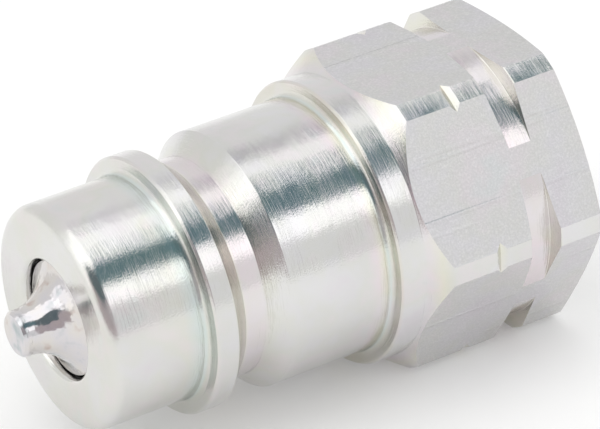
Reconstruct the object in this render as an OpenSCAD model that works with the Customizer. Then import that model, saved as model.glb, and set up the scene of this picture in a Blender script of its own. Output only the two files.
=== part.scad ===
// Male half of a poppet quick coupling for liquid lines, with a female pipe thread port.
// The axis of the coupling lies along X: the nose points to -X and the port opens to +X.
// The origin is the centre of the port face, and one flat of the hexagon faces up along +Z.
// Profiles are drawn as [radius, station], where a station is the distance back from the nose face.

/* [Nose] */
// Diameter of the sealing nose
nose_d = 20.5; // [19.5:0.1:21]
// Distance from the nose face to the front of the locking ring
nose_l = 9.35; // [8:0.05:10.5]
// Radius of the rounded outer edge of the nose
nose_edge_r = 1.15; // [0.3:0.05:1.8]
// Diameter of the bore through the nose face
mouth_d = 10.9; // [9.8:0.1:11.5]
// Radius of the rounded lip of that bore
mouth_lip_r = 0.45; // [0.2:0.05:0.8]
// Length of the bore, from the nose face to the start of the valve seat
mouth_l = 1.25; // [1:0.05:1.8]

/* [Locking ring and groove] */
// Diameter of the locking ring
ring_d = 23.6; // [22.5:0.1:24.5]
// Width of the ring over its full diameter
ring_w = 2.05; // [1.5:0.05:3]
// Floor diameter of the groove that the locking balls drop into
ball_groove_d = 20.1; // [19.4:0.1:20.4]
// Width of the groove at its floor
ball_groove_w = 2.1; // [1:0.05:3.5]
// Slope of the two flanks of the groove
ball_groove_angle = 45; // [35:1:60]

/* [Guide cylinder and collar] */
// Diameter of the cylinder that guides the sleeve of the other half
guide_d = 23.6; // [22.5:0.1:25]
// Length of the guide cylinder
guide_l = 10.1; // [8:0.1:14]
// Diameter of the collar
collar_d = 26.4; // [25:0.1:26.7]
// Width of the collar
collar_w = 2.55; // [1.5:0.05:4]
// Radius of the fillets at the feet of the ring and the collar
foot_r = 0.55; // [0.1:0.05:0.9]
// Size of the small bevels on turned edges
edge_bevel = 0.2; // [0.05:0.05:0.4]

/* [Hexagon] */
// Width across the flats of the hexagon
hex_af = 26.75; // [26.5:0.05:28.5]
// Diameter that the corners of the hexagon are turned down to
hex_corner_d = 29.9; // [29:0.1:30.8]
// Length from the end of the collar to the port face
hex_l = 17.65; // [17:0.05:24]
// Slope of the cone between the collar and the corners
hex_cone_angle = 45; // [35:1:60]
// Diameter of the flat port face
port_face_d = 26.6; // [25:0.1:28]
// Angle of the bevel around the port face
port_bevel_angle = 15; // [10:1:35]

/* [Grooves across the hexagon] */
// Distance from the port face to the rear wall of the wide groove
wide_groove_x = 4.85; // [4:0.05:6]
// Width of the wide groove at its floor
wide_groove_w = 2.35; // [1.5:0.05:3]
// Height of the floor of the wide groove above the flats
wide_groove_rise = 0.08; // [0.02:0.01:0.5]
// Lean of the front wall of the wide groove
wide_groove_front_lean = 22; // [5:1:40]
// Lean of the rear wall of the wide groove
wide_groove_rear_lean = 6; // [2:1:30]
// Distance from the port face to the middle of the narrow groove
mark_groove_x = 10.9; // [9.5:0.05:12]
// Width of the narrow groove
mark_groove_w = 1.1; // [0.6:0.05:1.6]
// Depth of the narrow groove below the corners
mark_groove_depth = 0.3; // [0.1:0.05:0.6]

/* [Port] */
// Major diameter of the female pipe thread
thread_d = 20.955; // [19.5:0.005:21.5]
// Depth of the full thread from the port face
thread_l = 15.5; // [14:0.1:16]
// Mouth diameter of the countersink in front of the thread
port_mouth_d = 22.6; // [22:0.1:24]
// Diameter of the relief behind the thread
relief_d = 21.3; // [21:0.1:22.4]
// Width of the relief
relief_w = 2; // [1:0.1:2.4]
// Width of the shoulder between the relief and the groove of the retaining ring
port_shoulder_w = 0.56; // [0.4:0.02:1.2]

/* [Chamber] */
// Slope of the valve seat
seat_angle = 45; // [35:1:55]
// Diameter of the valve chamber
chamber_d = 16.6; // [16:0.1:17.2]
// Diameter of the step that the valve guide fits in
guide_seat_d = 18; // [17.6:0.1:18.4]

/* [Poppet] */
// Reach of the poppet tip beyond the nose face
tip_reach = 3.9; // [2.5:0.1:5]
// Diameter of the poppet tip
tip_d = 4.16; // [3.4:0.02:5]
// Length of the straight stretch behind the tip
tip_l = 0.6; // [0.2:0.05:1.5]
// Radius of the hollow flare between the tip and the front flange
flare_r = 4.2; // [3.9:0.05:5]
// Gap around the front flange in the bore of the nose
flange_gap = 0.22; // [0.1:0.01:0.4]
// Distance from the nose face to the back of the front flange
flange_back = 1.1; // [1.05:0.05:1.5]
// Diameter of the neck that the seal sits on
seal_neck_d = 8; // [7:0.1:9]
// Diameter of the valve head behind the seal
head_d = 13.8; // [13.4:0.1:14.4]
// Thickness of the valve head
head_w = 1.8; // [1.2:0.1:2.6]
// Diameter of the spigot that centres the spring
spigot_d = 8.7; // [8:0.1:9]
// Length of the spigot
spigot_l = 2; // [1:0.1:3]
// Diameter of the thick part of the stem
stop_d = 6.8; // [6:0.1:7.6]
// Length of the thick part of the stem
stop_l = 7.7; // [6.5:0.1:8]
// Diameter of the thin part of the stem
stem_d = 5; // [4:0.1:5.6]
// Length of the thin part of the stem
stem_l = 11; // [9:0.1:12]
// Travel of the poppet
stroke = 5.5; // [4:0.1:5.6]

/* [Seal] */
// Width of the seal groove
seal_w = 2; // [1.8:0.05:2.4]
// Width of the straight rim of the seal behind its cone
seal_rim_w = 0.65; // [0.4:0.05:0.9]
// Gap between the seal and the valve seat
seal_gap = 0.08; // [0.04:0.01:0.15]
// Height of the seal over the front flange
seal_lip = 0.12; // [0.02:0.01:0.18]

/* [Spring] */
// Diameter of the spring wire
wire_d = 1.2; // [0.8:0.05:1.3]
// Mean diameter of the coils
coil_d = 10.6; // [10.4:0.1:11.4]
// Number of turns, with one closed turn at each end
coil_turns = 7.5; // [6:0.5:8]

/* [Valve guide] */
// Thickness of the rim and the arms
guide_rim_w = 3; // [2:0.1:3.4]
// Inner diameter of the rim
guide_rim_id = 15; // [14:0.1:16]
// Outer diameter of the hub
hub_d = 8.2; // [7.6:0.1:8.6]
// Width of an arm
arm_w = 2.4; // [1.6:0.1:3.2]
// Number of arms
arm_count = 3; // [3:1:5]

/* [Retaining ring] */
// Thickness of the retaining ring
snap_w = 1; // [0.8:0.05:1.2]
// Radial width of the retaining ring
snap_band = 1.7; // [1.2:0.1:2.2]
// Depth of the groove for the retaining ring below the step
snap_groove_depth = 0.5; // [0.3:0.05:0.7]
// Radius of the two lugs
lug_r = 1.7; // [1.5:0.05:1.9]
// Diameter of the plier holes in the lugs
lug_hole_d = 1.7; // [1.2:0.1:1.9]
// Angle between the middles of the two lugs
lug_spread = 44; // [38:1:60]

/* [Fits] */
// Radial clearance of the stem in the valve guide
running_gap = 0.05; // [0.02:0.01:0.08]
// Clearance of pieces that sit still in their seats
seat_gap = 0.03; // [0.02:0.01:0.06]

/* [Hidden] */
$fn = 96;
cut = 0.5;                       // how far a cutting shape runs past the surface it opens
arc_steps = 8;

nose_r = nose_d / 2;
mouth_r = mouth_d / 2;
ring_r = ring_d / 2;
ball_groove_r = ball_groove_d / 2;
guide_r = guide_d / 2;
collar_r = collar_d / 2;
corner_r = hex_corner_d / 2;
port_face_r = port_face_d / 2;
thread_r = thread_d / 2;
port_mouth_r = port_mouth_d / 2;
relief_r = relief_d / 2;
chamber_r = chamber_d / 2;
guide_seat_r = guide_seat_d / 2;

// Stations of the turned outside
ring_end = nose_l + ring_w;
floor_start = ring_end + (ring_r - ball_groove_r) / tan(ball_groove_angle);
floor_end = floor_start + ball_groove_w;
guide_start = floor_end + (guide_r - ball_groove_r) / tan(ball_groove_angle);
collar_start = guide_start + guide_l;
collar_end = collar_start + collar_w;
cone_end = collar_end + (corner_r - collar_r) / tan(hex_cone_angle);
body_l = collar_end + hex_l;
mark_mid = body_l - mark_groove_x;
wide_floor_r = hex_af / 2 + wide_groove_rise;
wide_rise_r = corner_r - wide_floor_r;
wide_rear = body_l - wide_groove_x;
wide_front = wide_rear - wide_groove_w;
bevel_start = body_l - (corner_r - port_face_r) * tan(port_bevel_angle);

// Stations of the inside
seat_end = mouth_l + (chamber_r - mouth_r) / tan(seat_angle);
mouth_cone_start = body_l - (port_mouth_r - thread_r);
thread_start = body_l - thread_l;
relief_start = thread_start - relief_w;
relief_cone_start = relief_start - (relief_r - guide_seat_r);
snap_groove_r = guide_seat_r + snap_groove_depth;
snap_end = relief_cone_start - port_shoulder_w;
snap_start = snap_end - snap_w - 2 * seat_gap;
guide_back = snap_start - seat_gap;
guide_seat_x = guide_back - guide_rim_w;   // the step that the valve guide rests on

// Stations of the poppet
tip_r = tip_d / 2;
flange_r = mouth_r - flange_gap;
flare_start = tip_l - tip_reach;
flare_turn = acos(1 - (flange_r - tip_r) / flare_r);
flange_front = flare_start + flare_r * sin(flare_turn);
head_front = flange_back + seal_w;
head_back = head_front + head_w;
spigot_end = head_back + spigot_l;
stop_end = spigot_end + stop_l;
stem_end = stop_end + stem_l;
stop_margin = 0.3;               // left between the thick stem and the hub at full travel
hub_front = stop_end + stroke + stop_margin;

// Points of an arc about a centre, from one angle to another
function arc(centre, r, from, to, steps = arc_steps) =
    [for (i = [0:steps]) let (a = from + (to - from) * i / steps) centre + r * [cos(a), sin(a)]];

// Rounded foot where a cylinder meets the face of a larger one
function foot(r, station) = arc([r + foot_r, station - foot_r], foot_r, 180, 90);

// Turns a profile of [radius, station] points about the X axis
module turned(points) {
    translate([-body_l, 0, 0])
        rotate([0, 90, 0])
            rotate_extrude()
                polygon(points);
}

// Rod along the X axis between two stations
module rod(r, from, to) {
    translate([from - body_l, 0, 0])
        rotate([0, 90, 0])
            cylinder(r = r, h = to - from);
}

// Flat plate between two stations, cut to an outline whose +X side faces down
module plate(from, to) {
    translate([from - body_l, 0, 0])
        rotate([0, 90, 0])
            linear_extrude(to - from)
                children();
}

// Hexagonal bar with flats facing up and down
module hex_bar() {
    translate([-body_l, 0, 0])
        rotate([0, 90, 0])
            rotate([0, 0, 30])
                cylinder(d = hex_af / cos(30), h = body_l, $fn = 6);
}

function nose_outline() = concat(
    [[0, 0]],
    arc([nose_r - nose_edge_r, nose_edge_r], nose_edge_r, -90, 0),
    foot(nose_r, nose_l),
    [[ring_r - edge_bevel, nose_l],
     [ring_r, nose_l + edge_bevel],
     [ring_r, ring_end]]);

function guide_outline() = concat(
    [[ball_groove_r, floor_start],
     [ball_groove_r, floor_end],
     [guide_r, guide_start]],
    foot(guide_r, collar_start),
    [[collar_r - edge_bevel, collar_start],
     [collar_r, collar_start + edge_bevel],
     [collar_r, collar_end]]);

function hex_outline() = [
    [corner_r, cone_end],
    [corner_r, mark_mid - mark_groove_w / 2],
    [corner_r - mark_groove_depth, mark_mid],
    [corner_r, mark_mid + mark_groove_w / 2],
    [corner_r, wide_front - wide_rise_r * tan(wide_groove_front_lean)],
    [wide_floor_r, wide_front],
    [wide_floor_r, wide_rear],
    [corner_r, wide_rear + wide_rise_r * tan(wide_groove_rear_lean)],
    [corner_r, bevel_start],
    [port_face_r, body_l],
    [0, body_l]];

function bore_outline() = concat(
    [[0, -cut],
     [mouth_r + mouth_lip_r, -cut]],
    arc([mouth_r + mouth_lip_r, mouth_lip_r], mouth_lip_r, 270, 180),
    [[mouth_r, mouth_l],
     [chamber_r, seat_end],
     [chamber_r, guide_seat_x],
     [guide_seat_r, guide_seat_x],
     [guide_seat_r, snap_start],
     [snap_groove_r, snap_start],
     [snap_groove_r, snap_end],
     [guide_seat_r, snap_end],
     [guide_seat_r, relief_cone_start],
     [relief_r, relief_start],
     [relief_r, thread_start],
     [thread_r, thread_start],
     [thread_r, mouth_cone_start],
     [port_mouth_r, body_l],
     [port_mouth_r, body_l + cut],
     [0, body_l + cut]]);

// One piece turned from hexagonal bar: nose, locking ring, guide, collar and spanner hexagon
module body() {
    color("silver")
        difference() {
            intersection() {
                hex_bar();
                turned(concat(nose_outline(), guide_outline(), hex_outline()));
            }
            turned(bore_outline());
        }
}

// Valve poppet: trumpet tip, front flange, neck for the seal, head, spigot and stem
module poppet() {
    tip_bevel = 0.25;
    stem_bevel = 0.4;
    color("lightgray")
        turned(concat(
            [[0, -tip_reach],
             [tip_r - tip_bevel, -tip_reach],
             [tip_r, tip_bevel - tip_reach]],
            arc([tip_r + flare_r, flare_start], flare_r, 180, 180 - flare_turn, 2 * arc_steps),
            [[flange_r, flange_back],
             [seal_neck_d / 2, flange_back],
             [seal_neck_d / 2, head_front],
             [head_d / 2, head_front],
             [head_d / 2, head_back],
             [spigot_d / 2, head_back],
             [spigot_d / 2, spigot_end],
             [stop_d / 2, spigot_end],
             [stop_d / 2, stop_end],
             [stem_d / 2, stop_end],
             [stem_d / 2, stem_end - stem_bevel],
             [stem_d / 2 - stem_bevel, stem_end],
             [0, stem_end]]));
}

// Rubber ring with a cone that lies along the valve seat
module poppet_seal() {
    inner = seal_neck_d / 2 + seat_gap;
    front = flange_back + seat_gap;
    back = head_front - seat_gap;
    lip = flange_r + seal_lip;
    // The cone of the seal is offset from the seat, and runs from the lip to the rim
    offset_x = mouth_l + seal_gap / sin(seat_angle);
    cone_front = offset_x + (lip - mouth_r) / tan(seat_angle);
    cone_back = back - seal_rim_w;
    outer = mouth_r + (cone_back - offset_x) * tan(seat_angle);
    color("dimgray")
        turned([
            [inner, front],
            [lip, front],
            [lip, cone_front],
            [outer, cone_back],
            [outer, back],
            [inner, back]]);
}

// Compression spring with one closed and ground turn at each end
module valve_spring() {
    ring_sides = 8;
    steps_per_turn = 18;
    front = head_back + seat_gap;
    free_l = guide_seat_x - seat_gap - front;
    closed_turns = 1;
    closed_pitch = wire_d * 1.06;
    end_inset = wire_d * 0.15;
    active_turns = coil_turns - 2 * closed_turns;
    active_pitch = (free_l - 2 * end_inset - 2 * closed_turns * closed_pitch) / active_turns;
    steps = ceil(coil_turns * steps_per_turn);
    function rise(turn) =
        end_inset
        + closed_pitch * min(turn, closed_turns)
        + active_pitch * max(0, min(turn - closed_turns, active_turns))
        + closed_pitch * max(0, turn - closed_turns - active_turns);
    points = [
        for (i = [0:steps], k = [0:ring_sides - 1])
            let (turn = coil_turns * i / steps,
                 side = 360 * k / ring_sides,
                 r = (coil_d + wire_d * cos(side)) / 2)
            [r * cos(360 * turn), r * sin(360 * turn), rise(turn) + wire_d / 2 * sin(side)]];
    sides = [
        for (i = [0:steps - 1], k = [0:ring_sides - 1], half = [0, 1])
            let (a = i * ring_sides + k,
                 b = i * ring_sides + (k + 1) % ring_sides)
            half == 0 ? [a, b, b + ring_sides] : [a, b + ring_sides, a + ring_sides]];
    first_cap = [for (k = [ring_sides - 1:-1:0]) k];
    last_cap = [for (k = [0:ring_sides - 1]) steps * ring_sides + k];
    color("gray")
        translate([front - body_l, 0, 0])
            rotate([0, 90, 0])
                intersection() {
                    polyhedron(points, concat(sides, [first_cap, last_cap]), convexity = 10);
                    cylinder(d = coil_d + 2 * wire_d, h = free_l);
                }
}

// Spider that carries the stem, with open windows for the flow
module valve_guide() {
    rim_r = guide_seat_r - seat_gap;
    rim_inner_r = guide_rim_id / 2;
    color("lightsteelblue")
        difference() {
            union() {
                plate(guide_seat_x, guide_back) {
                    difference() {
                        circle(rim_r);
                        circle(rim_inner_r);
                    }
                    for (i = [0:arm_count - 1])
                        rotate(180 + 360 * i / arm_count)
                            translate([0, -arm_w / 2])
                                square([(rim_inner_r + rim_r) / 2, arm_w]);
                }
                rod(hub_d / 2, hub_front, guide_back);
            }
            rod(stem_d / 2 + running_gap, hub_front - cut, guide_back + cut);
        }
}

// Internal retaining ring with two plier lugs
module retaining_ring() {
    outer = snap_groove_r - seat_gap;
    inner = outer - snap_band;
    from = snap_start + seat_gap;
    half_gap = lug_spread / 2;
    lug_middle = inner + snap_band / 2 - lug_r;
    color("darkgray")
        plate(from, from + snap_w)
            difference() {
                union() {
                    difference() {
                        circle(outer);
                        circle(inner);
                        // Opening between the middles of the lugs
                        polygon([
                            [0, 0],
                            2 * outer * [cos(half_gap), sin(half_gap)],
                            2 * outer * [cos(half_gap), -sin(half_gap)]]);
                    }
                    for (side = [-1, 1])
                        rotate(side * half_gap)
                            translate([lug_middle, 0])
                                circle(lug_r);
                }
                for (side = [-1, 1])
                    rotate(side * half_gap)
                        translate([lug_middle, 0])
                            circle(d = lug_hole_d);
            }
}

body();
poppet();
poppet_seal();
valve_spring();
valve_guide();
retaining_ring();
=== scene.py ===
"""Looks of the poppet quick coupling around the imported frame, in metres and in the row frame."""

import math

import bmesh
import bpy
from mathutils import Matrix, Vector


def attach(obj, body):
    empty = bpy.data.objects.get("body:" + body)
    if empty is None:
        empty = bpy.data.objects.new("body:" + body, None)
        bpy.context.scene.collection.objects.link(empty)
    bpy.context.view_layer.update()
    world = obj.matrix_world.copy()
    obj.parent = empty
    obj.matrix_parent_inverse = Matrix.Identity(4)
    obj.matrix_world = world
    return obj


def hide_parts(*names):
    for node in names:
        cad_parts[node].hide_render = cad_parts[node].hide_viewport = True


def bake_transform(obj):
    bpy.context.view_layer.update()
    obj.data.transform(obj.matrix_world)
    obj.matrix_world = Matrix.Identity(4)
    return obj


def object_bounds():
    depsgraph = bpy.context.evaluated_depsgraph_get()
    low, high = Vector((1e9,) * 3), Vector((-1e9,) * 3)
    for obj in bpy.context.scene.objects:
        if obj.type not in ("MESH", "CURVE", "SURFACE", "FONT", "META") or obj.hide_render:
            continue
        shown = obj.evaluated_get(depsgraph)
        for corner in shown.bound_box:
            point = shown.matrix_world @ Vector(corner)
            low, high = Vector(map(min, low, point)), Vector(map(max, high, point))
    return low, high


# Lengths are in mm. A profile holds (radius, station), a station being the distance back from
# the nose face.
MM = 0.001
TAU = 2 * math.pi
SIDES = 288                      # columns of a turned piece
BODY_L = 47.3                    # from the nose face to the port face, which is at x = 0
HEX_HALF = 13.375                # from the axis to a flat
NOSE_R = 10.25
NOSE_L = 9.35
NOSE_EDGE_R = 1.15
FOOT_R = 0.55                    # hollow round at the foot of the ring and of the collar
RING_R = 11.8                    # the locking ring, and the guide behind the ball groove
GROOVE_R = 10.05
COLLAR_START = 27.1
COLLAR_R = 13.2
CORNER_R = 14.95                 # the turned corners of the hexagon
WIDE_FLOOR_R = 13.455
THREAD_ROOT_R = 10.4775
THREAD_CREST_R = 9.3155
SEAT_STEP_R = 9.0                # the step that the valve guide rests on
CHAMBER_R = 8.3
MOUTH_R = 5.45
MOUTH_LIP_R = 0.45
MOUTH_L = 1.25
TIP_R = 2.08
TIP_REACH = 3.9
FLARE_START = -3.3
FLARE_R = 4.2
FLANGE_R = 5.23
FLANGE_BACK = 1.1
NECK_R = 4.0
HEAD_R = 6.9
HEAD_FRONT = 3.1
HEAD_BACK = 4.9
STOP_R = 3.4
STOP_END = 14.6
STEM_R = 2.5
STEM_END = 25.6
SEAL_FRONT = 1.13
SEAL_BACK = 3.07
SEAL_GAP = 0.08                  # between the seal and the valve seat
SEAL_RIM_W = 0.65
SEAL_LIP_R = 5.35


# ---------------------------------------------------------------- shapes
def arc(cx, cy, r, a0, a1, steps=8):
    """Points of an arc in a [radius, station] profile, angles in degrees."""
    out = []
    for i in range(steps + 1):
        a = math.radians(a0 + (a1 - a0) * i / steps)
        out.append((cx + r * math.cos(a), cy + r * math.sin(a)))
    return out


def soften(points, radius, least=25):
    """The closed profile with its sharp corners rounded, and a support point beside each round."""
    out = []
    count = len(points)
    for i, here in enumerate(points):
        before, after = points[i - 1], points[(i + 1) % count]
        p, q, s = Vector(here), Vector(before), Vector(after)
        to_q, to_s = q - p, s - p
        turn = math.degrees((-to_q).angle(to_s, 0))
        if turn < least or here[0] < 1e-6:
            out.append(here)
            continue
        reach = radius * math.tan(math.radians(turn) / 2)
        reach = min(reach, 0.4 * to_q.length, 0.4 * to_s.length)
        to_q.normalize()
        to_s.normalize()
        first, last = p + to_q * reach, p + to_s * reach
        hold = min(0.35 * reach + 0.01, 0.08)
        out.append(tuple(p + to_q * (reach + hold)))
        for k in range(5):
            t = k / 4
            out.append(tuple(first * (1 - t) ** 2 + p * 2 * t * (1 - t) + last * t ** 2))
        out.append(tuple(p + to_s * (reach + hold)))
    return out


def lathe(points, sides=SIDES):
    """A bmesh of a closed profile of (radius, station) in mm turned about the X axis."""
    bm = bmesh.new()
    columns = []
    for k in range(sides):
        a = TAU * k / sides
        columns.append((math.cos(a), math.sin(a)))
    rings = []
    for r, station in points:
        x = (station - BODY_L) * MM
        if r < 1e-6:
            rings.append([bm.verts.new((x, 0, 0))])
        else:
            rings.append([bm.verts.new((x, r * MM * s, r * MM * c)) for c, s in columns])
    for i, ring in enumerate(rings):
        following = rings[(i + 1) % len(rings)]
        if len(ring) == 1 and len(following) == 1:
            continue
        for k in range(sides):
            n = (k + 1) % sides
            corners = [ring[k % len(ring)], following[k % len(following)],
                       following[n % len(following)], ring[n % len(ring)]]
            seen = []
            for v in corners:
                if v not in seen:
                    seen.append(v)
            bm.faces.new(seen)
    bmesh.ops.recalc_face_normals(bm, faces=bm.faces)
    return bm


def to_object(name, bm, materials, angle=32):
    """Puts a bmesh in the scene as a smooth shaded object with sharp edges above the angle."""
    limit = math.radians(angle)
    for f in bm.faces:
        f.smooth = True
    for e in bm.edges:
        sides = e.link_faces
        flat = len({f.material_index for f in sides}) > 1
        e.smooth = not flat and len(sides) == 2 and e.calc_face_angle(0) < limit
    mesh = bpy.data.meshes.new(name)
    bm.to_mesh(mesh)
    bm.free()
    for m in materials:
        mesh.materials.append(m)
    obj = bpy.data.objects.new(name, mesh)
    bpy.context.scene.collection.objects.link(obj)
    return obj


# ---------------------------------------------------------------- materials
class Shader:
    """Small helper that adds and links shader nodes."""

    def __init__(self, name):
        self.mat = bpy.data.materials.new(name)
        self.mat.use_nodes = True
        self.tree = self.mat.node_tree
        self.tree.nodes.clear()
        self.out = self.add("ShaderNodeOutputMaterial")
        self.bsdf = self.add("ShaderNodeBsdfPrincipled")
        self.link(self.bsdf, "BSDF", self.out, "Surface")
        self.coords = self.add("ShaderNodeTexCoord")

    def add(self, kind, **props):
        node = self.tree.nodes.new(kind)
        for key, value in props.items():
            setattr(node, key, value)
        return node

    def link(self, a, out, b, into):
        self.tree.links.new(a.outputs[out], b.inputs[into])

    def math(self, op, a, b=None, clamp=False):
        node = self.add("ShaderNodeMath", operation=op, use_clamp=clamp)
        for i, value in enumerate([a, b]):
            if value is None:
                continue
            if isinstance(value, (int, float)):
                node.inputs[i].default_value = value
            else:
                self.tree.links.new(value, node.inputs[i])
        return node.outputs[0]

    def split(self):
        xyz = self.add("ShaderNodeSeparateXYZ")
        self.link(self.coords, "Object", xyz, 0)
        return xyz.outputs

    def combine(self, x, y, z):
        node = self.add("ShaderNodeCombineXYZ")
        for i, value in enumerate([x, y, z]):
            if isinstance(value, (int, float)):
                node.inputs[i].default_value = value
            else:
                self.tree.links.new(value, node.inputs[i])
        return node.outputs[0]

    def noise(self, vector, scale, detail=2.0, rough=0.5, w=None):
        node = self.add("ShaderNodeTexNoise")
        node.noise_dimensions = "3D" if w is None else "4D"
        self.tree.links.new(vector, node.inputs["Vector"])
        node.inputs["Scale"].default_value = scale
        node.inputs["Detail"].default_value = detail
        node.inputs["Roughness"].default_value = rough
        if w is not None:
            self.tree.links.new(w, node.inputs["W"])
        return node.outputs["Fac"]

    def ramp(self, fac, stops):
        node = self.add("ShaderNodeValToRGB")
        elements = node.color_ramp.elements
        while len(elements) < len(stops):
            elements.new(0.5)
        for e, (pos, colour) in zip(elements, stops):
            e.position = pos
            e.color = (*colour, 1) if len(colour) == 3 else colour
        self.tree.links.new(fac, node.inputs[0])
        return node.outputs[0]

    def mix(self, kind, amount, a, b):
        node = self.add("ShaderNodeMix", data_type="RGBA", blend_type=kind)
        for i, value in ((0, amount), (6, a), (7, b)):
            if isinstance(value, (int, float)):
                node.inputs[i].default_value = value
            elif isinstance(value, tuple):
                node.inputs[i].default_value = (*value, 1)
            else:
                self.tree.links.new(value, node.inputs[i])
        return node.outputs[2]

    def rescale(self, value, a, b, c, d):
        node = self.add("ShaderNodeMapRange")
        self.tree.links.new(value, node.inputs[0])
        for i, number in enumerate([a, b, c, d]):
            node.inputs[i + 1].default_value = number
        return node.outputs[0]

    def bump(self, height, distance, strength=1.0, normal=None):
        node = self.add("ShaderNodeBump")
        if isinstance(strength, (int, float)):
            node.inputs["Strength"].default_value = strength
        else:
            self.tree.links.new(strength, node.inputs["Strength"])
        node.inputs["Distance"].default_value = distance
        self.tree.links.new(height, node.inputs["Height"])
        if normal is not None:
            self.tree.links.new(normal, node.inputs["Normal"])
        return node.outputs["Normal"]

    def finish(self, colour, rough, normal):
        self.tree.links.new(colour, self.bsdf.inputs["Base Color"])
        self.tree.links.new(rough, self.bsdf.inputs["Roughness"])
        self.tree.links.new(normal, self.bsdf.inputs["Normal"])
        return self.mat


def polar(sh):
    """Unit direction about the axis as a vector, and the station coordinate along the profile."""
    x, y, z = sh.split()
    r = sh.math("SQRT", sh.math("ADD", sh.math("MULTIPLY", y, y), sh.math("MULTIPLY", z, z)))
    r = sh.math("MAXIMUM", r, 1e-5)
    direction = sh.combine(sh.math("DIVIDE", y, r), sh.math("DIVIDE", z, r), 0.0)
    along = sh.math("ADD", x, sh.math("MULTIPLY", r, 1.37))
    return direction, along


ZINC = [(0.30, (0.785, 0.76, 0.785)), (0.42, (0.79, 0.785, 0.79)), (0.52, (0.78, 0.78, 0.755)),
        (0.62, (0.81, 0.78, 0.785)), (0.72, (0.775, 0.79, 0.785))]
PLAIN = (0.85, 0.85, 0.85)
CREAM = (0.86, 0.86, 0.82)
YELLOW = (0.91, 0.90, 0.77)
OLIVE = (0.88, 0.83, 0.73)
TEAL = (0.77, 0.86, 0.84)
PINK = (0.90, 0.84, 0.87)
# Tints by station, partly the colour of the passivation film where it is thicker and partly painted
# reflection colour, such as the yellow on the rear wall of the wide groove: (station, tint)
FILM_AND_REFLECTION_TINTS = [(0.0, CREAM), (1.2, PLAIN), (7.2, CREAM), (8.5, TEAL), (9.15, TEAL),
        (9.32, OLIVE), (9.45, PLAIN), (11.3, PLAIN), (11.6, YELLOW), (13.0, YELLOW), (13.4, PINK),
        (15.0, PINK), (15.5, CREAM), (17.2, PLAIN), (24.8, PLAIN), (25.6, PINK),
        (26.4, YELLOW), (26.8, TEAL), (27.08, OLIVE), (27.35, PLAIN), (29.55, PLAIN), (29.9, PINK),
        (30.7, YELLOW), (31.5, PLAIN), (35.8, PLAIN), (36.4, YELLOW), (37.0, PLAIN), (39.45, PLAIN),
        (40.2, PINK), (42.35, PINK), (42.5, YELLOW), (42.8, PLAIN)]


def turned_zinc(name, rough=(0.08, 0.16), lines=1.0, mottle=1.0, film_and_reflection=FILM_AND_REFLECTION_TINTS):
    """Zinc plate over a turned surface: fine rings, speckle, and tints by station that are partly
    passivation film and partly painted reflection colour.
    """
    sh = Shader(name)
    place = sh.coords.outputs["Object"]
    direction, along = polar(sh)
    fine = sh.noise(direction, 5.0, 1.0, 0.5, sh.math("MULTIPLY", along, 6300.0))
    broad = sh.noise(direction, 3.0, 1.0, 0.5, sh.math("MULTIPLY", along, 2500.0))
    spots = sh.noise(place, 5800.0, 2.0, 0.65)
    dents = sh.noise(place, 700.0, 2.0, 0.5)
    tint = sh.noise(place, 190.0, 3.0, 0.6)
    amount = sh.rescale(sh.noise(place, 90.0, 2.0, 0.5), 0.35, 0.65, 0.55, 1.0)
    # The rings fade in and out over the surface, as a worn tool leaves them
    patchy = sh.rescale(sh.noise(place, 260.0, 2.0, 0.5), 0.35, 0.65, 0.35 * lines, lines)
    normal = sh.bump(fine, 0.000012, patchy)
    normal = sh.bump(broad, 0.000022, patchy, normal)
    normal = sh.bump(dents, 0.000014, mottle, normal)
    normal = sh.bump(spots, 0.000009, mottle, normal)
    rough_value = sh.rescale(spots, 0.35, 0.7, rough[0], rough[1])
    colour = sh.ramp(tint, ZINC)
    if film_and_reflection:
        # Tints along the station: partly the film's own colour, partly painted reflection colour
        x = sh.split()[0]
        station = sh.rescale(x, -BODY_L * MM, 0.0, 0.0, 1.0)
        film_and_reflection_tints = sh.ramp(station, [(at / BODY_L, shade) for at, shade in film_and_reflection])
        colour = sh.mix("MULTIPLY", amount, colour, film_and_reflection_tints)
    sh.bsdf.inputs["Metallic"].default_value = 1.0
    return sh.finish(colour, rough_value, normal)


def drawn_zinc(name):
    """Zinc plate over drawn hexagon bar: lines along X, mottle, small knocks."""
    sh = Shader(name)
    x, y, z = sh.split()
    stretched = sh.combine(sh.math("MULTIPLY", x, 0.035), y, z)
    lines = sh.noise(stretched, 3800.0, 2.0, 0.6)
    scratches = sh.noise(stretched, 900.0, 1.0, 0.4)
    spots = sh.noise(sh.coords.outputs["Object"], 5200.0, 3.0, 0.7)
    dents = sh.noise(sh.coords.outputs["Object"], 420.0, 2.0, 0.5)
    tint = sh.noise(sh.coords.outputs["Object"], 140.0, 3.0, 0.6)
    drags = sh.rescale(scratches, 0.62, 0.70, 0.0, 1.0)
    normal = sh.bump(lines, 0.000008, 0.8)
    normal = sh.bump(drags, 0.000040, 1.0, normal)
    normal = sh.bump(spots, 0.000024, 1.0, normal)
    normal = sh.bump(dents, 0.000060, 0.4, normal)
    rough_value = sh.rescale(spots, 0.3, 0.7, 0.30, 0.44)
    sh.bsdf.inputs["Metallic"].default_value = 1.0
    grain = sh.ramp(spots, [(0.34, (0.78, 0.78, 0.785)), (0.50, (0.83, 0.825, 0.84)),
                            (0.70, (0.96, 0.955, 0.965))])
    colour = sh.mix("MULTIPLY", 1.0, sh.ramp(tint, ZINC), grain)
    return sh.finish(colour, rough_value, normal)


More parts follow.
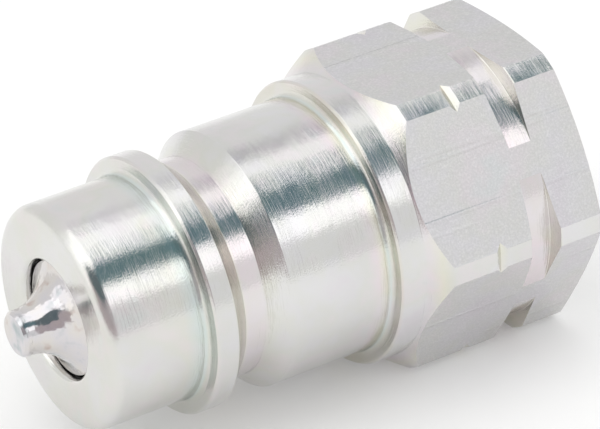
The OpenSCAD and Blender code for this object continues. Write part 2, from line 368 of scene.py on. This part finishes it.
def polished_steel(name):
    sh = Shader(name)
    direction, along = polar(sh)
    fine = sh.noise(direction, 2.0, 1.5, 0.5, sh.math("MULTIPLY", along, 5200.0))
    wave = sh.noise(sh.coords.outputs["Object"], 700.0, 2.0, 0.5)
    spots = sh.noise(sh.coords.outputs["Object"], 3600.0, 2.0, 0.6)
    normal = sh.bump(fine, 0.000006, 0.6)
    normal = sh.bump(wave, 0.000130, 0.8, normal)
    rough_value = sh.rescale(spots, 0.3, 0.7, 0.08, 0.16)
    sh.bsdf.inputs["Metallic"].default_value = 1.0
    # Random tone: the dark grey-green patches are painted reflection of the bore, the brown patches
    # a stain
    tint = sh.noise(sh.coords.outputs["Object"], 300.0, 3.0, 0.6)
    colour = sh.ramp(tint, [(0.30, (0.44, 0.49, 0.50)), (0.42, (0.66, 0.64, 0.66)),
                            (0.60, (0.69, 0.66, 0.63)), (0.70, (0.52, 0.41, 0.37))])
    return sh.finish(colour, rough_value, normal)


def plain_steel(name, dark, light, rough):
    """Spring and clip steel with fine mottle."""
    sh = Shader(name)
    spots = sh.noise(sh.coords.outputs["Object"], 2400.0, 3.0, 0.6)
    tint = sh.noise(sh.coords.outputs["Object"], 500.0, 3.0, 0.6)
    normal = sh.bump(spots, 0.000015, 0.8)
    sh.bsdf.inputs["Metallic"].default_value = 1.0
    rough_value = sh.rescale(spots, 0.3, 0.7, rough[0], rough[1])
    return sh.finish(sh.ramp(tint, [(0.35, dark), (0.65, light)]), rough_value, normal)


def rubber(name):
    sh = Shader(name)
    spots = sh.noise(sh.coords.outputs["Object"], 5000.0, 3.0, 0.6)
    dust = sh.noise(sh.coords.outputs["Object"], 900.0, 4.0, 0.7)
    normal = sh.bump(spots, 0.000010, 0.7)
    rough_value = sh.rescale(dust, 0.3, 0.7, 0.42, 0.62)
    sh.bsdf.inputs["Metallic"].default_value = 0.0
    colour = sh.ramp(dust, [(0.4, (0.012, 0.012, 0.013)), (0.75, (0.030, 0.029, 0.028))])
    return sh.finish(colour, rough_value, normal)


# ---------------------------------------------------------------- the frame
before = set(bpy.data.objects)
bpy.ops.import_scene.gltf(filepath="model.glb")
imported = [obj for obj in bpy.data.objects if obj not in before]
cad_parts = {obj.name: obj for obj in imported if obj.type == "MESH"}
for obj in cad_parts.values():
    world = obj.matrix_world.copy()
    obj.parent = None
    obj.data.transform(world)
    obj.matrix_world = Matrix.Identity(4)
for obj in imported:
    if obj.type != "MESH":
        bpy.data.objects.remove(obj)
cad_box = [list(corner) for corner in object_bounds()]

zinc_turned = turned_zinc("zinc_turned")
zinc_drawn = drawn_zinc("zinc_drawn")
zinc_inside = turned_zinc("zinc_inside", rough=(0.22, 0.34), film_and_reflection=None)
poppet_steel = polished_steel("poppet_steel")
seal_rubber = rubber("seal_rubber")
spring_steel = plain_steel("spring_steel", (0.36, 0.37, 0.38), (0.46, 0.46, 0.46), (0.2, 0.34))
guide_steel = turned_zinc("guide_steel", rough=(0.22, 0.34), film_and_reflection=None)
ring_steel = plain_steel("ring_steel", (0.16, 0.16, 0.165), (0.24, 0.235, 0.23), (0.3, 0.45))

# ---------------------------------------------------------------- body
outline = [(MOUTH_R + MOUTH_LIP_R, 0.0)]
outline += arc(NOSE_R - NOSE_EDGE_R, NOSE_EDGE_R, NOSE_EDGE_R, -90, 0, 14)
outline += arc(NOSE_R + FOOT_R, NOSE_L - FOOT_R, FOOT_R, 180, 90, 10)
outline += [(11.6, NOSE_L), (RING_R, 9.55), (RING_R, 11.4),
            (GROOVE_R, 13.15), (GROOVE_R, 15.25), (RING_R, 17.0)]
outline += arc(RING_R + FOOT_R, COLLAR_START - FOOT_R, FOOT_R, 180, 90, 10)
outline += [(13.0, COLLAR_START), (COLLAR_R, 27.3), (COLLAR_R, 29.65), (CORNER_R, 31.4),
            (CORNER_R, 35.85), (14.65, 36.4), (CORNER_R, 36.95),
            (CORNER_R, 39.496), (WIDE_FLOOR_R, 40.1), (WIDE_FLOOR_R, 42.45), (CORNER_R, 42.607),
            (CORNER_R, 46.858), (13.3, BODY_L)]
# The inside, from the port back to the mouth of the nose
outline += [(11.3, BODY_L), (THREAD_ROOT_R, 46.4775), (THREAD_ROOT_R, 31.8), (10.65, 31.8),
            (10.65, 29.8), (SEAT_STEP_R, 28.15), (SEAT_STEP_R, 27.59), (9.5, 27.59),
            (9.5, 26.53), (SEAT_STEP_R, 26.53), (SEAT_STEP_R, 23.5), (CHAMBER_R, 23.5),
            (CHAMBER_R, 4.1), (MOUTH_R, MOUTH_L)]
outline += arc(MOUTH_R + MOUTH_LIP_R, MOUTH_LIP_R, MOUTH_LIP_R, 180, 270, 8)[:-1]

bm = lathe(soften(outline, 0.08))
# The six flats, cut into the turned outline and closed with the second material
for k in range(6):
    a = TAU * k / 6
    way = Vector((0, math.sin(a), math.cos(a)))
    geom = bm.verts[:] + bm.edges[:] + bm.faces[:]
    bmesh.ops.bisect_plane(bm, geom=geom, dist=1e-8, plane_co=way * HEX_HALF * MM,
                           plane_no=way, clear_outer=True)
    rim = [e for e in bm.edges if len(e.link_faces) == 1]
    made = bmesh.ops.contextual_create(bm, geom=rim)["faces"]
    for f in made:
        f.material_index = 1
bmesh.ops.recalc_face_normals(bm, faces=bm.faces)
body = to_object("body_skin", bm, [zinc_turned, zinc_drawn])
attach(body, "coupling")
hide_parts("body")

# ---------------------------------------------------------------- poppet and seal
flare_turn = math.degrees(math.acos(1 - (FLANGE_R - TIP_R) / FLARE_R))
profile = [(0.0, -TIP_REACH), (TIP_R - 0.25, -TIP_REACH), (TIP_R, 0.25 - TIP_REACH)]
profile += arc(TIP_R + FLARE_R, FLARE_START, FLARE_R, 180, 180 - flare_turn, 30)
profile += [(FLANGE_R, FLANGE_BACK), (NECK_R, FLANGE_BACK), (NECK_R, HEAD_FRONT),
            (HEAD_R, HEAD_FRONT), (HEAD_R, HEAD_BACK), (4.35, HEAD_BACK), (4.35, 6.9),
            (STOP_R, 6.9), (STOP_R, STOP_END), (STEM_R, STOP_END), (STEM_R, STEM_END - 0.4),
            (STEM_R - 0.4, STEM_END), (0.0, STEM_END)]
poppet = to_object("poppet_skin", lathe(soften(profile, 0.06), 192), [poppet_steel])
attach(poppet, "valve")
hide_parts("poppet")

# The cone of the seal lies along the seat, set off by the gap
seal_at = MOUTH_L + SEAL_GAP * math.sqrt(2)
cone_back = SEAL_BACK - SEAL_RIM_W
seal_r = MOUTH_R + cone_back - seal_at
profile = [(4.03, SEAL_FRONT), (SEAL_LIP_R, SEAL_FRONT), (SEAL_LIP_R, seal_at - 0.1),
           (seal_r, cone_back), (seal_r, SEAL_BACK), (4.03, SEAL_BACK)]
seal = to_object("seal_skin", lathe(soften(profile, 0.1), 192), [seal_rubber])
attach(seal, "valve")
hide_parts("poppet_seal")


# ---------------------------------------------------------------- spring
def spring():
    """Round wire swept along the closed and ground spring, front at the poppet's head."""
    wire, coil, turns, closed = 0.6, 5.3, 7.5, 1.0
    front, back = HEAD_BACK + 0.03, 23.47
    pitch0 = 1.2 * 1.06
    inset = 0.18
    active = turns - 2 * closed
    pitch = (back - front - 2 * inset - 2 * closed * pitch0) / active
    bm = bmesh.new()
    rings = []
    steps = int(turns * 72)
    for i in range(steps + 1):
        turn = turns * i / steps
        rise = (inset + pitch0 * min(turn, closed) + pitch * max(0, min(turn - closed, active))
                + pitch0 * max(0, turn - closed - active))
        a = TAU * turn
        ring = []
        for k in range(20):
            b = TAU * k / 20
            r = coil + wire * math.cos(b)
            station = min(max(front + rise + wire * math.sin(b), front), back)
            ring.append(bm.verts.new(((station - BODY_L) * MM, r * MM * math.sin(a),
                                      -r * MM * math.cos(a))))
        rings.append(ring)
    for i in range(steps):
        for k in range(20):
            n = (k + 1) % 20
            bm.faces.new((rings[i][k], rings[i][n], rings[i + 1][n], rings[i + 1][k]))
    bm.faces.new(rings[0])
    bm.faces.new(rings[-1])
    bmesh.ops.recalc_face_normals(bm, faces=bm.faces)
    return to_object("spring_skin", bm, [spring_steel], 40)


coil = spring()
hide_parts("valve_spring")
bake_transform(coil)


# ---------------------------------------------------------------- thread
def thread():
    """Ridges of the half inch pipe thread, right-handed, fading out at both ends."""
    pitch, root, crest = 1.814, THREAD_ROOT_R, THREAD_CREST_R
    start, end = 31.95, 46.4
    half = pitch / 2
    shape = [(-0.5, -0.03), (-0.44, 0.0), (-0.34, 0.12), (-0.16, 0.86), (-0.09, 0.98), (0.0, 1.0),
             (0.09, 0.98), (0.16, 0.86), (0.34, 0.12), (0.44, 0.0), (0.5, -0.03)]
    bm = bmesh.new()
    rings = []
    turns = (end - start - pitch) / pitch
    steps = int(turns * 96)
    for i in range(steps + 1):
        turn = turns * i / steps
        fade = min(1.0, turn / 0.6, (turns - turn) / 0.6)
        fade = max(fade, 0.0) ** 0.6
        a = TAU * turn
        ring = []
        for across, height in shape:
            depth = (root - crest) * max(height, 0) * fade
            r = root + 0.04 - (depth + 0.04 if height > 0 else 0)
            station = start + half + turn * pitch + across * pitch
            ring.append(bm.verts.new(((station - BODY_L) * MM, r * MM * math.sin(a),
                                      r * MM * math.cos(a))))
        rings.append(ring)
    for i in range(steps):
        for k in range(len(shape) - 1):
            bm.faces.new((rings[i][k], rings[i + 1][k], rings[i + 1][k + 1], rings[i][k + 1]))
    bm.normal_update()
    return to_object("port_thread", bm, [zinc_inside], 60)


ridges = thread()
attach(ridges, "coupling")

for name, material in (("valve_guide", guide_steel), ("retaining_ring", ring_steel)):
    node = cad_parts[name]
    for slot in node.material_slots:
        slot.material = material

# ---------------------------------------------------------------- stage and light
floor_z = cad_box[0][2]


def plane(name, width, depth):
    mesh = bpy.data.meshes.new(name)
    w, d = width / 2, depth / 2
    mesh.from_pydata([(-w, -d, 0), (w, -d, 0), (w, d, 0), (-w, d, 0)], [], [(0, 1, 2, 3)])
    obj = bpy.data.objects.new(name, mesh)
    bpy.context.scene.collection.objects.link(obj)
    return obj


floor_mat = bpy.data.materials.new("floor_white")
floor_mat.use_nodes = True
nodes, links = floor_mat.node_tree.nodes, floor_mat.node_tree.links
nodes.clear()
out = nodes.new("ShaderNodeOutputMaterial")
diffuse = nodes.new("ShaderNodeBsdfDiffuse")
diffuse.inputs["Color"].default_value = (0.88, 0.88, 0.875, 1)
glow = nodes.new("ShaderNodeEmission")
glow.inputs["Color"].default_value = (0.12, 0.12, 0.12, 1)
both = nodes.new("ShaderNodeAddShader")
pick = nodes.new("ShaderNodeMixShader")
path = nodes.new("ShaderNodeLightPath")
seen = nodes.new("ShaderNodeMath")
seen.operation = "MAXIMUM"
seen_more = nodes.new("ShaderNodeMath")
seen_more.operation = "MAXIMUM"
links.new(path.outputs["Is Camera Ray"], seen.inputs[0])
links.new(path.outputs["Is Glossy Ray"], seen.inputs[1])
links.new(seen.outputs[0], seen_more.inputs[0])
links.new(path.outputs["Is Transmission Ray"], seen_more.inputs[1])
links.new(diffuse.outputs[0], both.inputs[0])
links.new(glow.outputs[0], both.inputs[1])
links.new(seen_more.outputs[0], pick.inputs[0])
links.new(diffuse.outputs[0], pick.inputs[1])
links.new(both.outputs[0], pick.inputs[2])
links.new(pick.outputs[0], out.inputs["Surface"])

floor = plane("floor", 6.0, 6.0)
floor.location = (0, 0, floor_z)
floor.data.materials.append(floor_mat)

world = bpy.data.worlds.new("studio")
bpy.context.scene.world = world
world.use_nodes = True
background = world.node_tree.nodes["Background"]
background.inputs["Color"].default_value = (1.0, 1.0, 1.0, 1)
background.inputs["Strength"].default_value = 0.9


def aim(obj, place, target, roll_axis):
    """Puts obj at place with its -Z axis towards target and its X axis near roll_axis."""
    back = (Vector(place) - Vector(target)).normalized()
    side = (Vector(roll_axis) - back * back.dot(Vector(roll_axis))).normalized()
    up = back.cross(side)
    m = Matrix((side, up, back)).transposed().to_4x4()
    m.translation = Vector(place)
    obj.matrix_world = m


def toward(azimuth, elevation, distance):
    """A place around the part: azimuth 0 is -Y and 90 is +X, and elevation 90 is straight up."""
    a, e = math.radians(azimuth), math.radians(elevation)
    way = Vector((math.sin(a) * math.cos(e), -math.cos(a) * math.cos(e), math.sin(e)))
    return MIDDLE + way * distance


def softbox(name, place, target, width, depth, roll, radiance):
    """An area lamp of that size that adds that radiance to the plain world."""
    data = bpy.data.lights.new(name, "AREA")
    data.shape = "RECTANGLE"
    data.size = width
    data.size_y = depth
    data.energy = radiance * math.pi * width * depth
    obj = bpy.data.objects.new(name, data)
    bpy.context.scene.collection.objects.link(obj)
    aim(obj, place, target, roll)
    return obj


def card(name, edges, distance, colour):
    """A panel of the light tent, seen only in the metal: [azimuth, lowest, highest]."""
    mat = bpy.data.materials.new(name)
    mat.use_nodes = True
    nodes, links = mat.node_tree.nodes, mat.node_tree.links
    nodes.clear()
    out = nodes.new("ShaderNodeOutputMaterial")
    dark = nodes.new("ShaderNodeEmission")
    dark.inputs["Color"].default_value = (*colour, 1)
    links.new(dark.outputs[0], out.inputs["Surface"])
    mesh = bpy.data.meshes.new(name)
    points = [toward(a, e, distance) for a, low, high in edges for e in (low, high)]
    mesh.from_pydata(points, [], [(i, i + 2, i + 3, i + 1) for i in range(0, len(points) - 2, 2)])
    mesh.materials.append(mat)
    obj = bpy.data.objects.new(name, mesh)
    bpy.context.scene.collection.objects.link(obj)
    for ray in ("camera", "diffuse", "shadow", "transmission"):
        setattr(obj, "visible_" + ray, False)
    return obj


MIDDLE = Vector((-0.025, 0, 0))
softbox("soft_top", (-0.50, 0.015, 0.6), (-0.50, 0.015, 0), 1.40, 0.50, (1, 0, 0), 0.55)
softbox("soft_front", toward(25, 36, 0.6), MIDDLE, 0.42, 0.19, (0.9, 0.42, 0), 0.55)
softbox("soft_left", toward(-108, 20, 0.6), MIDDLE, 0.30, 0.40, (0.3, -0.9, 0), 0.42)
card("card_arm", [(-6, 46, 66), (20, 47, 67.5), (35, 45.5, 67), (50, 47, 66), (75, 52, 64.5),
                  (96, 57, 62)], 0.5, (0.15, 0.24, 0.265))
card("card_main", [(-84, 24, 40), (-62, 20, 57), (-35, 26, 64), (-6, 34, 66)], 0.5,
     (0.15, 0.19, 0.205))
card("card_low", [(-85, -5, 24), (-62, -5, 20), (-35, -5, 26), (-6, 0, 34), (4, 8, 28)], 0.5,
     (0.53, 0.475, 0.49))
card("card_bright", [(97, 50, 75), (110, 50, 75), (123, 50, 75)], 0.5, (1.2, 1.2, 1.2))
card("card_back", [(127, 42, 70), (137, 42, 68), (144, 40, 60)], 0.5, (0.67, 0.66, 0.69))

# ---------------------------------------------------------------- camera
camera_data = bpy.data.cameras.new("camera")
camera_data.lens = 258.5
camera_data.sensor_width = 36.0
camera_data.clip_start = 0.01
camera_data.clip_end = 20.0
camera = bpy.data.objects.new("camera", camera_data)
bpy.context.scene.collection.objects.link(camera)
right = Vector((0.845720, -0.530791, -0.054876))
up = Vector((0.307180, 0.400167, 0.863423))
turn = Matrix((right, up, right.cross(up))).transposed().to_4x4()
turn.translation = Vector((-187.951, -283.676, 192.073)) * MM
camera.matrix_world = turn
bpy.context.scene.camera = camera
bpy.context.scene.view_settings.view_transform = "Standard"
